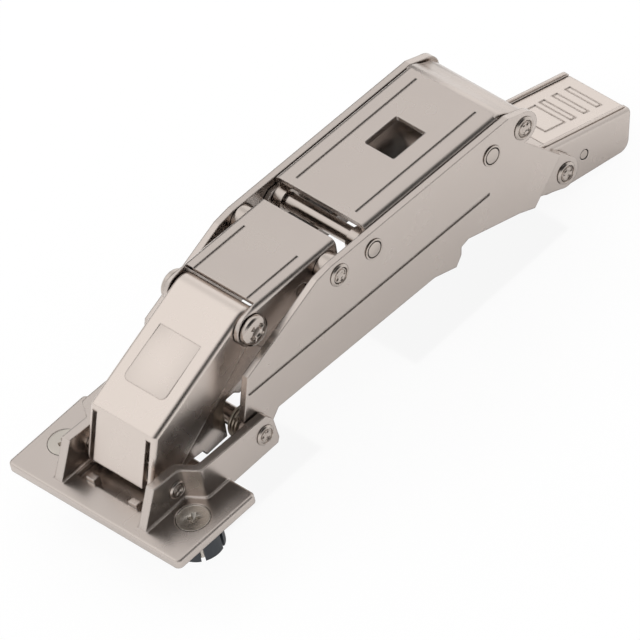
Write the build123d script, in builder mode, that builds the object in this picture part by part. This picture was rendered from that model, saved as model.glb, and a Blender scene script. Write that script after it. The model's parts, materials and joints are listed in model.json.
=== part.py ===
"""Wide-angle cabinet hinge with a screw-on door plate, shown part open.

Millimetres. The origin is on the face that lies on the door, midway between the two screws.
X runs along the pins, Y runs from the plate towards the cabinet arm, Z stands up from the door.
"""
import math
import os

from build123d import *

os.makedirs("parts", exist_ok=True)


# Door plate
plate_width = 60.0
plate_depth = 28.0
plate_thickness = 2.5
plate_corner = 1.5
plate_front = -13.2
screw_spacing = 45.0
bracket_inner = 18.5
bracket_wall = 2.4
fin_outer = 16.0
fin_wall = 2.6
fin_height = 10.2
pocket_depth = 1.5

# Sheet thicknesses and half widths, measured from the middle plane X = 0
side_sheet = 2.0
side_inner = 16.0
cover_sheet = 1.5
cover_half = 15.8
middle_sheet = 1.3
middle_half = 13.0
front_sheet = 1.3
front_half = 11.4
arm_sheet = 1.5
arm_half = 12.0
control_sheet = 1.6
control_inner = 7.6

# Pins
axle_radius = 2.5
link_pin_radius = 2.2
rod_radius = 2.3
small_pin_radius = 1.8
running_gap = 0.06
open_pivot_gap = 0.4
side_gap = 0.4


def at(point, dy=0.0, dz=0.0):
    """A point beside another one, in the Y Z plane."""
    return (point[0] + dy, point[1] + dz)


def along(origin, angle, distance, rise=0.0):
    """A point at a distance along a slope and a rise square to it."""
    turn = math.radians(angle)
    return (
        origin[0] + distance * math.cos(turn) - rise * math.sin(turn),
        origin[1] + distance * math.sin(turn) + rise * math.cos(turn),
    )


# Pivots in the Y Z plane. The front link stays parallel to the line from the rear axle
# to the centre pins, so the fourth corner follows from the other three.
rear_axle_at = (28.4, plate_thickness + 3.5)
link_rivet_at = (38.3, plate_thickness + 28.1)
centre_at = (64.5, plate_thickness + 27.3)
front_axle_at = (
    link_rivet_at[0] + rear_axle_at[0] - centre_at[0],
    link_rivet_at[1] + rear_axle_at[1] - centre_at[1],
)
cover_slope = -2.45
cover_length = 47.5
cover_rise = 4.9
cover_start = 12.7
cover_origin = at(centre_at, cover_start, cover_rise)
cover_end = along(cover_origin, cover_slope, cover_length)
front_rod_at = at(cover_origin, -0.7, -6.2)
rear_rod_at = at(cover_end, -6.25, -7.47)
tail_pin_at = at(rear_rod_at, 11.6, -0.2)
arm_axle_at = at(tail_pin_at, 11.9, -28.6)
control_front_at = at(centre_at, -8.5, -0.8)
control_rear_at = at(arm_axle_at, -16.2, 11.9)

side_step = 1.0
arm_slope = -18.6
arm_top_rise = 7.4


def sheet_at(inner):
    """The working plane of a sheet whose inner face is at X = inner."""
    return Plane.YZ.offset(inner)


# Door plate with its two fins, bracket arms and front pocket
plate_middle = plate_front + plate_depth / 2
plate_back = plate_front + plate_depth
pocket_half = front_half + 0.8
pocket_front = front_axle_at[0] - 8.2
lug_width = 2.8
lug_depth = 2.0
fin_back = 4.0
arm_start = fin_back + bracket_inner + bracket_wall - fin_outer - 1.9
bracket_reach = 4.1
bend_radius = 1.6
foot_radius = 0.6

with BuildPart() as door_plate:
    with BuildSketch(Plane.XY):
        with Locations((0, plate_middle)):
            RectangleRounded(plate_width, plate_depth, plate_corner)
    extrude(amount=plate_thickness)
    fillet(door_plate.faces().sort_by(Axis.Z)[-1].edges(), 0.7)
    with BuildSketch(Plane.XY.offset(plate_thickness)):
        with Locations((0, (pocket_front + plate_middle + 9) / 2)):
            Rectangle(2 * pocket_half, plate_middle + 9 - pocket_front)
    extrude(amount=-pocket_depth, mode=Mode.SUBTRACT)
    # two short stops that stand in the pocket
    with BuildSketch(Plane.XY.offset(plate_thickness - pocket_depth)):
        with Locations((-7.4, pocket_front + lug_depth / 2), (7.4, pocket_front + lug_depth / 2)):
            Rectangle(lug_width, lug_depth)
    extrude(amount=pocket_depth + 1.3)
    # fin, sloped jog and bracket arm, as one bent wall seen from above
    for side in (1, -1):
        with BuildSketch(Plane.XY) as wall:
            with BuildLine():
                Polyline(
                    (side * fin_outer, -10.3),
                    (side * fin_outer, fin_back),
                    (side * (bracket_inner + bracket_wall), arm_start),
                    (side * (bracket_inner + bracket_wall), rear_axle_at[0] + bracket_reach),
                    (side * bracket_inner, rear_axle_at[0] + bracket_reach),
                    (side * bracket_inner, arm_start + 0.9),
                    (side * (fin_outer - fin_wall), fin_back + 0.9),
                    (side * (fin_outer - fin_wall), -10.3),
                    close=True,
                )
            make_face()
            fillet(wall.vertices().filter_by(lambda v: fin_back - 0.5 < v.Y < arm_start + 1.5), bend_radius)
        extrude(amount=plate_thickness + fin_height)
    # side outline of the bent walls: what lies above and behind it is cut away
    with BuildSketch(Plane.YZ.offset(-plate_width)):
        with BuildLine():
            Polyline(
                (-10.3, plate_thickness),
                (-4.6, plate_thickness + fin_height),
                (fin_back, plate_thickness + 9.6),
                at(rear_axle_at, 1.6, 5.2),
                at(rear_axle_at, 3.6, 2.6),
                at(rear_axle_at, 4.0, -4.2),
                at(rear_axle_at, 3.2, -5.6),
                (plate_back, 0.3),
                (plate_back, 0),
                (plate_front - 1, 0),
                (plate_front - 1, plate_thickness),
                close=True,
            )
        make_face()
    extrude(amount=2 * plate_width, mode=Mode.INTERSECT)
    # a small radius where the walls stand on the plate
    fillet(door_plate.edges().filter_by_position(Axis.Z, plate_thickness - 0.01, plate_thickness + 0.01).filter_by(
        lambda edge: fin_outer - 0.1 < abs(edge.center().X) < bracket_inner + bracket_wall + 0.1
        and edge.center().Y > -10.2 and edge.length > 0.5
    ), foot_radius)
    # holes for the two axles and the screws
    with BuildSketch(Plane.YZ.offset(-plate_width)):
        with Locations(rear_axle_at):
            Circle(axle_radius)
    extrude(amount=2 * plate_width, mode=Mode.SUBTRACT)
    with BuildSketch(Plane.YZ.offset(-fin_outer + 0.8)):
        with Locations(front_axle_at):
            Circle(link_pin_radius)
    extrude(amount=2 * (fin_outer - 0.8), mode=Mode.SUBTRACT)
    with Locations((-screw_spacing / 2, 0, plate_thickness), (screw_spacing / 2, 0, plate_thickness)):
        CounterSinkHole(radius=2.2, counter_sink_radius=4.6, depth=plate_thickness)
door_plate.part.label = "door_plate"
export_step(door_plate.part, "parts/door_plate.step")


# Side plates of the main lever: one flat sheet each, with its lug stepped in to the arm
lever_lug = 4.8
pin_lug = 4.6
arm_lug = 4.4
fold_angle = 37.0
fold_at = at(arm_axle_at, -4.8, 10.5)
lug_inner = arm_half + side_gap
crease_width = 0.8
crease_depth = 0.35
lever_top = along(cover_origin, cover_slope, 0, -side_step)

with BuildPart() as side_plate_right:
    with BuildSketch(Plane.YZ.offset(lug_inner)):
        with BuildLine():
            Polyline(
                at(rear_axle_at, -3.1, 5.0),
                at(rear_axle_at, 1.5, 17.3),
                at(centre_at, -19.3, -0.7),
                at(centre_at, -7.0, 3.9),
                along(lever_top, cover_slope, -14.5),
                along(lever_top, cover_slope, cover_length + 1.5),
                at(tail_pin_at, 2.6, 3.8),
                at(tail_pin_at, -0.9, -4.4),
                at(arm_axle_at, -6.2, 15.3),
                at(arm_axle_at, 3.4, 2.8),
                at(arm_axle_at, -1.4, -4.17),
                at(arm_axle_at, -19.6, 4.6),
                at(arm_axle_at, -36.7, 10.5),
                at(arm_axle_at, -39.4, 9.9),
                at(arm_axle_at, -40.0, 7.7),
                at(arm_axle_at, -42.4, 5.3),
                at(arm_axle_at, -49.7, 7.9),
                at(rear_axle_at, 8.2, 1.1),
                at(rear_axle_at, 2.5, -4.1),
                close=True,
            )
        make_face()
        with Locations(rear_axle_at):
            Circle(lever_lug)
        with Locations(tail_pin_at):
            Circle(pin_lug)
        with Locations(arm_axle_at):
            Circle(arm_lug)
    extrude(amount=side_inner + side_sheet - lug_inner)
    # the sheet's own section, square to the fold: flat, stepped in, flat again
    step = side_inner - lug_inner
    fold = math.radians(fold_angle)
    fold_plane = Plane(
        origin=(0, fold_at[0], fold_at[1]),
        x_dir=(0, math.sin(fold), -math.cos(fold)),
        z_dir=(0, math.cos(fold), math.sin(fold)),
    )
    with BuildSketch(fold_plane):
        with BuildLine():
            Polyline(
                (-200, -side_inner),
                (0, -side_inner),
                (step, -lug_inner),
                (60, -lug_inner),
                (60, -lug_inner - side_sheet),
                (step + 0.8, -lug_inner - side_sheet),
                (0.8, -side_inner - side_sheet),
                (-200, -side_inner - side_sheet),
                close=True,
            )
        make_face()
    extrude(amount=200, both=True, mode=Mode.INTERSECT)
    # running holes on the rear axle, pressed holes for the other pins
    with BuildSketch(Plane.YZ):
        with Locations(rear_axle_at):
            Circle(axle_radius + running_gap)
        with Locations(centre_at, front_rod_at, rear_rod_at, tail_pin_at):
            Circle(rod_radius)
        with Locations(arm_axle_at):
            Circle(link_pin_radius)
        # small three-cornered opening low in the sheet
        with Locations(at(arm_axle_at, -29.3, 14.3)):
            with BuildLine():
                Polyline((-2.2, 1.0), (0.7, 2.5), (1.8, -3.6), close=True)
            make_face()
    extrude(amount=side_inner + side_sheet + 1, mode=Mode.SUBTRACT)
    # pressed crease along the outer face
    with BuildSketch(sheet_at(side_inner + side_sheet)):
        crease_middle = along(rear_axle_at, cover_slope, 43.0, 12.2)
        with Locations(Location((crease_middle[0], crease_middle[1], 0), (0, 0, cover_slope))):
            SlotOverall(86.4, crease_width)
    extrude(amount=-crease_depth, mode=Mode.SUBTRACT)
side_plate_right.part.label = "side_plate_right"
export_step(side_plate_right.part, "parts/side_plate_right.step")

with BuildPart() as side_plate_left:
    mirror(side_plate_right.part, about=Plane.YZ)
side_plate_left.part.label = "side_plate_left"
export_step(side_plate_left.part, "parts/side_plate_left.step")


# Cover of the main lever: a channel with a window, held between the side plates by two rods
cover_wall = 11.5
cover_bend = 2.0
cover_lip = 3.6
window_length = 11.6
window_width = 10.2
window_start = 21.3
groove_half = 10.3
groove_width = 0.5
groove_depth = 0.3
cover_plane = Plane(
    origin=(0, cover_origin[0], cover_origin[1]),
    x_dir=(0, math.cos(math.radians(cover_slope)), math.sin(math.radians(cover_slope))),
    z_dir=(1, 0, 0),
)
cover_top_plane = Plane(
    origin=(0, cover_origin[0], cover_origin[1]),
    x_dir=(1, 0, 0),
    z_dir=(0, -math.sin(math.radians(cover_slope)), math.cos(math.radians(cover_slope))),
)

with BuildPart() as cover:
    with BuildSketch(cover_plane.offset(-cover_half)):
        with BuildLine():
            Polyline(
                (0, 0),
                (cover_length, 0),
                (cover_length, -cover_wall),
                (-3.5, -cover_wall + 1.5),
                (-4.6, -cover_wall + 3),
                (-4.6, -4.6),
                (-2.6, -3.2),
                (0, -3.2),
                close=True,
            )
        make_face()
    extrude(amount=2 * cover_half)
    fillet(cover.edges().filter_by(GeomType.LINE).filter_by(
        lambda edge: edge.length > cover_length - 0.1
        and abs(abs(edge.center().X) - cover_half) < 0.01
        and edge.center().Z > cover_origin[1] - 3
    ), cover_bend)
    with BuildSketch(cover_plane.offset(-cover_half + cover_sheet)):
        with BuildLine():
            Polyline(
                (-6, -cover_sheet),
                (cover_length - cover_sheet, -cover_sheet),
                (cover_length - cover_sheet, -cover_lip),
                (cover_length + 1, -cover_lip),
                (cover_length + 1, -cover_wall - 1),
                (-6, -cover_wall - 1),
                close=True,
            )
        make_face()
    extrude(amount=2 * (cover_half - cover_sheet), mode=Mode.SUBTRACT)
    with BuildSketch(Plane.YZ.offset(-cover_half)):
        with Locations(front_rod_at, rear_rod_at):
            Circle(rod_radius)
    extrude(amount=2 * cover_half, mode=Mode.SUBTRACT)
    with BuildSketch(cover_top_plane):
        with Locations((0, window_start + window_length / 2)):
            RectangleRounded(window_width, window_length, 0.6)
    extrude(amount=-2 * cover_sheet, mode=Mode.SUBTRACT)
    with BuildSketch(cover_top_plane):
        with Locations((-groove_half, 2.4 + 21.5), (groove_half, 2.4 + 21.5)):
            Rectangle(groove_width, 43)
    extrude(amount=-groove_depth, mode=Mode.SUBTRACT)
cover.part.label = "cover"
export_step(cover.part, "parts/cover.step")


# Middle link: a channel between the side plates
middle_inner = middle_half - middle_sheet
middle_front = at(centre_at, -22.5, 6.2)
middle_rear = at(centre_at, 5.0, 5.2)
middle_line = 9.2
middle_line_length = 18.0
with BuildPart() as middle_link:
    with BuildSketch(Plane.YZ.offset(-middle_half)):
        with BuildLine():
            Polyline(middle_front, middle_rear, centre_at, link_rivet_at, close=True)
        make_face()
        with Locations(link_rivet_at):
            Circle(4.8)
        with Locations(centre_at):
            Circle(4.6)
        make_hull()
    extrude(amount=2 * middle_half)
    fillet(middle_link.edges().filter_by(GeomType.LINE).filter_by(
        lambda edge: edge.length > 20 and abs(abs(edge.center().X) - middle_half) < 0.01
        and edge.center().Z > centre_at[1] + 5
    ), 1.6)
    slope = math.degrees(math.atan2(middle_rear[1] - middle_front[1], middle_rear[0] - middle_front[0]))
    inner_front = along(middle_front, slope, -30, -middle_sheet)
    inner_rear = along(middle_front, slope, 60, -middle_sheet)
    with BuildSketch(Plane.YZ.offset(-middle_inner)):
        with BuildLine():
            Polyline(
                at(middle_front, 0, 5),
                along(middle_front, slope, 0, -middle_sheet),
                inner_rear,
                at(inner_rear, 0, -60),
                at(inner_front, 0, -60),
                at(inner_front, 0, 10),
                close=True,
            )
        make_face()
    extrude(amount=2 * middle_inner, mode=Mode.SUBTRACT)
    # two pressed lines on the top, from the front edge
    with BuildSketch(Plane(
        origin=(0,) + middle_front,
        x_dir=(1, 0, 0),
        z_dir=(0, -math.sin(math.radians(slope)), math.cos(math.radians(slope))),
    )):
        with Locations((-middle_line, middle_line_length / 2), (middle_line, middle_line_length / 2)):
            Rectangle(groove_width, middle_line_length)
    extrude(amount=-groove_depth, mode=Mode.SUBTRACT)
    with BuildSketch(Plane.YZ.offset(-middle_half)):
        with Locations(link_rivet_at):
            Circle(link_pin_radius + running_gap)
        with Locations(centre_at):
            Circle(rod_radius + running_gap)
        with Locations(control_front_at):
            Circle(small_pin_radius)
    extrude(amount=2 * middle_half, mode=Mode.SUBTRACT)
middle_link.part.label = "middle_link"
export_step(middle_link.part, "parts/middle_link.step")


# Front link: a channel from the plate to the middle link, closed in front by a folded panel
front_inner = front_half - front_sheet
front_corner = at(front_axle_at, 0.6, 14.7)
front_end = at(link_rivet_at, -5.2, 2.1)
panel_foot = at(front_axle_at, -5.0, 0.2)
field_half = 7.0
field_start = 9.5
field_length = 16.0
field_depth = 0.4
with BuildPart() as front_link:
    with BuildSketch(Plane.YZ.offset(-front_half)):
        with BuildLine():
            Polyline(front_corner, front_end, link_rivet_at, front_axle_at, close=True)
        make_face()
        with Locations(link_rivet_at):
            Circle(5.0)
        with Locations(front_axle_at):
            Circle(4.6)
        make_hull()
    extrude(amount=2 * front_half)
    fillet(front_link.edges().filter_by(GeomType.LINE).filter_by(
        lambda edge: edge.length > 20 and abs(abs(edge.center().X) - front_half) < 0.01
        and edge.center().Z > (front_corner[1] + front_end[1]) / 2 - 1
    ), 1.4)
    link_slope = math.degrees(math.atan2(front_end[1] - front_corner[1], front_end[0] - front_corner[0]))
    inner_low = along(front_corner, link_slope, -30, -front_sheet)
    inner_high = along(front_corner, link_slope, 80, -front_sheet)
    with BuildSketch(Plane.YZ.offset(-front_inner)):
        with BuildLine():
            Polyline(inner_low, inner_high, at(inner_high, 0, -80), at(inner_low, 0, -80), close=True)
        make_face()
    extrude(amount=2 * front_inner, mode=Mode.SUBTRACT)
    # a pressed field on the top that runs out towards the rivet
    field_top = along(front_corner, link_slope, field_start + field_length)
    field_tilt = math.radians(link_slope + math.degrees(math.atan(field_depth / field_length)))
    with BuildSketch(Plane(
        origin=(0,) + field_top, x_dir=(1, 0, 0), z_dir=(0, -math.sin(field_tilt), math.cos(field_tilt))
    )) as field:
        with Locations((0, -field_length / 2)):
            Rectangle(2 * field_half, field_length)
        fillet(field.vertices().group_by(Axis.Y)[0], 1.6)
    extrude(amount=2 * front_sheet, mode=Mode.SUBTRACT)
    # the panel hangs from the fold and leaves a slit beside each wall
    with BuildSketch(Plane.YZ.offset(-8.5)):
        with BuildLine():
            Polyline(
                front_corner,
                panel_foot,
                at(panel_foot, 1.3, -0.45),
                at(front_corner, 1.3, -0.6),
                at(front_corner, 3.0, 0.2),
                close=True,
            )
        make_face()
    extrude(amount=17)
    with BuildSketch(Plane.YZ.offset(-front_half)):
        with Locations(link_rivet_at):
            Circle(link_pin_radius)
        with Locations(front_axle_at):
            Circle(link_pin_radius + running_gap)
    extrude(amount=2 * front_half, mode=Mode.SUBTRACT)
front_link.part.label = "front_link"
export_step(front_link.part, "parts/front_link.step")


# Arm: a channel that clips on to the cabinet's mounting plate
arm_inner = arm_half - arm_sheet
arm_tail = 25.0
tail_radius = 3.0
arm_open_start = -3.4
rim_width = 2.5
lever_gap = 0.3
arm_plane = Plane(
    origin=(0, arm_axle_at[0], arm_axle_at[1]),
    x_dir=(0, math.cos(math.radians(arm_slope)), math.sin(math.radians(arm_slope))),
    z_dir=(1, 0, 0),
)
arm_top_plane = Plane(
    origin=(0,) + along(arm_axle_at, arm_slope, 0, arm_top_rise),
    x_dir=(1, 0, 0),
    z_dir=(0, -math.sin(math.radians(arm_slope)), math.cos(math.radians(arm_slope))),
)
release_at = (9.0, 0.5)
release_radius = 1.5

with BuildPart() as arm:
    with BuildSketch(arm_plane.offset(-arm_half)) as arm_side:
        with BuildLine():
            Polyline(
                (-23.2, 5.0),
                (-20.5, -0.6),
                (-14.0, -3.0),
                (-4.0, -6.0),
                (3.4, -6.3),
                (arm_tail, -4.2),
                (arm_tail, arm_top_rise),
                (-13.0, arm_top_rise),
                (-15.5, 8.0),
                close=True,
            )
        make_face()
        fillet(arm_side.vertices().sort_by(Axis.X)[-2:].sort_by(Axis.Y)[0], tail_radius)
    extrude(amount=2 * arm_half)
    with BuildSketch(Plane.YZ.offset(-arm_half)):
        with Locations(control_rear_at):
            Circle(4.2)
    extrude(amount=2 * arm_half)
    fillet(arm.edges().filter_by(GeomType.LINE).filter_by(
        lambda edge: edge.length > 30 and abs(abs(edge.center().X) - arm_half) < 0.01
    ), 1.2)
    with BuildSketch(arm_plane.offset(-arm_inner)):
        with BuildLine():
            Polyline(
                (-40, -20),
                (arm_tail + 5, -20),
                (arm_tail + 5, arm_top_rise - arm_sheet),
                (-13.0, arm_top_rise - arm_sheet),
                (-13.0, arm_top_rise + 8),
                (-40, arm_top_rise + 8),
                close=True,
            )
        make_face()
    extrude(amount=2 * arm_inner, mode=Mode.SUBTRACT)
    with BuildSketch(arm_top_plane):
        with Locations((0, (arm_open_start + arm_tail + 1) / 2)):
            Rectangle(2 * (arm_half - rim_width), arm_tail + 1 - arm_open_start)
    extrude(amount=-2 * arm_sheet, mode=Mode.SUBTRACT)
    with BuildSketch(arm_plane.offset(-arm_half)):
        Circle(link_pin_radius + running_gap)
        with Locations(release_at):
            Circle(release_radius)
    extrude(amount=2 * arm_half, mode=Mode.SUBTRACT)
    with BuildSketch(Plane.YZ.offset(-arm_half)):
        with Locations(control_rear_at):
            Circle(small_pin_radius)
    extrude(amount=2 * arm_half, mode=Mode.SUBTRACT)
arm.part.label = "arm"
export_step(arm.part, "parts/arm.step")


# Release lever: a pressed plate between the arm's rims, with two ears on its own pin
release_half = arm_half - rim_width - lever_gap
release_top = arm_top_rise - 0.3
release_sheet = 1.2
emboss = 0.35

with BuildPart() as release_lever:
    with BuildSketch(arm_plane.offset(-release_half)):
        with BuildLine():
            Polyline(
                (arm_open_start + 0.5, release_top),
                (arm_tail, release_top),
                (arm_tail, release_top - release_sheet),
                (13.0, release_top - release_sheet),
                (12.0, release_at[1]),
                (release_at[0] + 1.5, release_at[1] - 2.6),
                (release_at[0] - 1.5, release_at[1] - 2.6),
                (6.0, release_at[1]),
                (5.0, release_top - release_sheet),
                (arm_open_start + 0.5, release_top - release_sheet),
                close=True,
            )
        make_face()
    extrude(amount=2 * release_half)
    with BuildSketch(arm_plane.offset(-release_half + release_sheet)):
        with BuildLine():
            Polyline(
                (-10, -20),
                (arm_tail + 5, -20),
                (arm_tail + 5, release_top - release_sheet),
                (-10, release_top - release_sheet),
                close=True,
            )
        make_face()
    extrude(amount=2 * (release_half - release_sheet), mode=Mode.SUBTRACT)
    release_top_plane = arm_top_plane.offset(release_top - arm_top_rise)
    with BuildSketch(release_top_plane):
        with Locations((0, 5.0)):
            Rectangle(10.8, 7.4)
            Rectangle(9.8, 6.4, mode=Mode.SUBTRACT)
        with Locations((0, 11.2), (0, 15.8), (0, 20.4)):
            Rectangle(11.4, 2.2)
            Rectangle(10.4, 1.2, mode=Mode.SUBTRACT)
    extrude(amount=-emboss, mode=Mode.SUBTRACT)
    with BuildSketch(arm_plane.offset(-release_half)):
        with Locations(release_at):
            Circle(release_radius + running_gap)
    extrude(amount=2 * release_half, mode=Mode.SUBTRACT)
release_lever.part.label = "release_lever"
export_step(release_lever.part, "parts/release_lever.step")


# Control links: two bent strips from the middle link to the arm
strip_half = 2.0
strip_bends = [
    control_front_at,
    at(control_front_at, 6.2, -11.0),
    at(control_front_at, 22.0, -13.3),
    control_rear_at,
]
for name, inner in (("control_link_right", control_inner), ("control_link_left", -control_inner - control_sheet)):
    with BuildPart() as control_link:
        with BuildSketch(Plane.YZ.offset(inner)):
            for start, end in zip(strip_bends, strip_bends[1:]):
                with Locations(((start[0] + end[0]) / 2, (start[1] + end[1]) / 2)):
                    reach = math.dist(start, end)
                    tilt = math.degrees(math.atan2(end[1] - start[1], end[0] - start[0]))
                    SlotCenterToCenter(reach, 2 * strip_half, rotation=tilt)
            with Locations(control_front_at, control_rear_at):
                Circle(3.4)
            with Locations(control_front_at):
                Circle(small_pin_radius + running_gap, mode=Mode.SUBTRACT)
            with Locations(control_rear_at):
                Circle(small_pin_radius + open_pivot_gap, mode=Mode.SUBTRACT)
        extrude(amount=control_sheet)
    control_link.part.label = name
    export_step(control_link.part, f"parts/{name}.step")


# Pins. Each has a shank and, where it is riveted, a head at each end.
def riveted_pin(name, place, shank_radius, reach, head_radius=0.0, head=0.0):
    """A pin along X through a point, the same at both ends."""
    with BuildPart() as pin:
        with BuildSketch(Plane.YZ.offset(-reach)):
            with Locations(place):
                Circle(shank_radius)
        extrude(amount=2 * reach)
        if head:
            for start in (-reach - head, reach):
                with BuildSketch(Plane.YZ.offset(start)):
                    with Locations(place):
                        Circle(head_radius)
                extrude(amount=head)
            fillet(pin.faces().filter_by(Axis.X).group_by(Axis.X)[0].edges(), 0.45 * head)
            fillet(pin.faces().filter_by(Axis.X).group_by(Axis.X)[-1].edges(), 0.45 * head)
        else:
            chamfer(pin.faces().filter_by(Axis.X).edges(), 0.3)
    pin.part.label = name
    export_step(pin.part, f"parts/{name}.step")


side_outer = side_inner + side_sheet
lug_outer = lug_inner + side_sheet
riveted_pin("rear_axle", rear_axle_at, axle_radius, bracket_inner + bracket_wall + 0.3)
riveted_pin("front_axle", front_axle_at, link_pin_radius, fin_outer - 0.8)
riveted_pin("link_rivet", link_rivet_at, link_pin_radius, middle_half + 0.3, 4.2, 1.9)
riveted_pin("front_rod", front_rod_at, rod_radius, side_outer)
riveted_pin("rear_rod", rear_rod_at, rod_radius, side_outer)
riveted_pin("tail_pin", tail_pin_at, rod_radius, side_outer + 0.3)
riveted_pin("arm_axle", arm_axle_at, link_pin_radius, lug_outer + 0.3)
riveted_pin("control_front_pin", control_front_at, small_pin_radius, middle_half - 0.1)
riveted_pin("control_rear_pin", control_rear_at, small_pin_radius, arm_half - 0.1)
riveted_pin("release_pin", along(arm_axle_at, arm_slope, *release_at), release_radius, arm_half - 0.1)


# Centre pins: a short rivet in each side plate, so that the links pass between them
with BuildPart() as centre_pins:
    with BuildSketch(Plane.YZ.offset(middle_inner - 0.5)):
        with Locations(centre_at):
            Circle(rod_radius)
    extrude(amount=side_outer + 0.3 - middle_inner + 0.5)
    chamfer(centre_pins.faces().filter_by(Axis.X).edges(), 0.3)
    mirror(about=Plane.YZ)
centre_pins.part.label = "centre_pins"
export_step(centre_pins.part, "parts/centre_pins.step")

with BuildPart() as centre_washers:
    with BuildSketch(Plane.YZ.offset(middle_half + 0.1)):
        with Locations(centre_at):
            Circle(4.2)
            Circle(rod_radius + running_gap, mode=Mode.SUBTRACT)
    extrude(amount=side_inner - middle_half - 0.2)
    mirror(about=Plane.YZ)
centre_washers.part.label = "centre_washers"
export_step(centre_washers.part, "parts/centre_washers.step")


# Sleeves that keep the cover's walls apart on the front rod
with BuildPart() as rod_sleeves:
    with BuildSketch(Plane.YZ.offset(11.3)):
        with Locations(front_rod_at):
            Circle(3.3)
            Circle(rod_radius + running_gap, mode=Mode.SUBTRACT)
    extrude(amount=cover_half - cover_sheet - 0.1 - 11.3)
    mirror(about=Plane.YZ)
rod_sleeves.part.label = "rod_sleeves"
export_step(rod_sleeves.part, "parts/rod_sleeves.step")


# Closing spring on the rear axle, and the release lever's own spring
def coil(name, origin, mean_radius, wire_radius, pitch, turns):
    """A wire coil along X that starts at a point."""
    with BuildPart() as spring:
        with BuildLine() as path:
            Helix(pitch=pitch, height=pitch * turns, radius=mean_radius, center=origin, direction=(1, 0, 0))
        with BuildSketch(Plane(origin=path.line @ 0, z_dir=path.line % 0)):
            Circle(wire_radius)
        sweep(is_frenet=True)
    spring.part.label = name
    export_step(spring.part, f"parts/{name}.step")


coil("closing_spring", (8.0,) + rear_axle_at, 3.7, 0.6, 1.3, 5)
coil("clip_spring", (-3.4,) + along(arm_axle_at, arm_slope, *release_at), 2.05, 0.3, 0.75, 9)


# Fixing: countersunk screws, expanding dowels and the cones that spread them
dowel_radius = 6.5
dowel_length = 7.0
cone_radius = 4.8
cone_top = 3.2
with BuildPart() as plate_screws:
    with Locations((-screw_spacing / 2, 0), (screw_spacing / 2, 0)):
        with Locations((0, 0, -dowel_length + 1.2)):
            Cylinder(2.0, dowel_length + plate_thickness - 1.4, align=(Align.CENTER, Align.CENTER, Align.MIN))
        with Locations((0, 0, plate_thickness - 2.2)):
            Cone(2.0, 4.4, 2.2, align=(Align.CENTER, Align.CENTER, Align.MIN))
    for across in (-screw_spacing / 2, screw_spacing / 2):
        with BuildSketch(Plane.XY.offset(plate_thickness)):
            with Locations(Location((across, 0, 0), (0, 0, 35))):
                Rectangle(4.4, 1.0)
                Rectangle(1.0, 4.4)
        extrude(amount=-1.6, taper=12, mode=Mode.SUBTRACT)
plate_screws.part.label = "plate_screws"
export_step(plate_screws.part, "parts/plate_screws.step")

slit_width = 1.1
slit_turn = 23.0
collar_radius = 6.3
collar_height = 1.2
with BuildPart() as dowels:
    with Locations((-screw_spacing / 2, 0, 0), (screw_spacing / 2, 0, 0)):
        Cylinder(collar_radius, collar_height, align=(Align.CENTER, Align.CENTER, Align.MAX))
        with Locations((0, 0, -collar_height)):
            Cylinder(dowel_radius, dowel_length - collar_height, align=(Align.CENTER, Align.CENTER, Align.MAX))
    chamfer(dowels.edges().filter_by(GeomType.CIRCLE).group_by(Axis.Z)[0], 0.4)
    with Locations((-screw_spacing / 2, 0, 0), (screw_spacing / 2, 0, 0)):
        Cylinder(cone_radius + 0.1, dowel_length, align=(Align.CENTER, Align.CENTER, Align.MAX), mode=Mode.SUBTRACT)
        with Locations((0, 0, -dowel_length)):
            with PolarLocations(dowel_radius, 6, slit_turn):
                Box(
                    2 * dowel_radius, slit_width, dowel_length - collar_height,
                    align=(Align.CENTER, Align.CENTER, Align.MIN), mode=Mode.SUBTRACT,
                )
dowels.part.label = "dowels"
export_step(dowels.part, "parts/dowels.step")

with BuildPart() as dowel_cones:
    with Locations((-screw_spacing / 2, 0, -dowel_length), (screw_spacing / 2, 0, -dowel_length)):
        Cone(
            cone_radius, cone_top, dowel_length - 0.4,
            align=(Align.CENTER, Align.CENTER, Align.MIN),
        )
        with Locations((0, 0, 1.0)):
            Cylinder(2.05, dowel_length, align=(Align.CENTER, Align.CENTER, Align.MIN), mode=Mode.SUBTRACT)
dowel_cones.part.label = "dowel_cones"
export_step(dowel_cones.part, "parts/dowel_cones.step")
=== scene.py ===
"""Looks of a wide-angle cabinet hinge: plated sheet, riveted pins, wire, a studio and a camera."""
import json
import math

import bmesh
import bpy
from mathutils import Matrix, Vector


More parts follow.
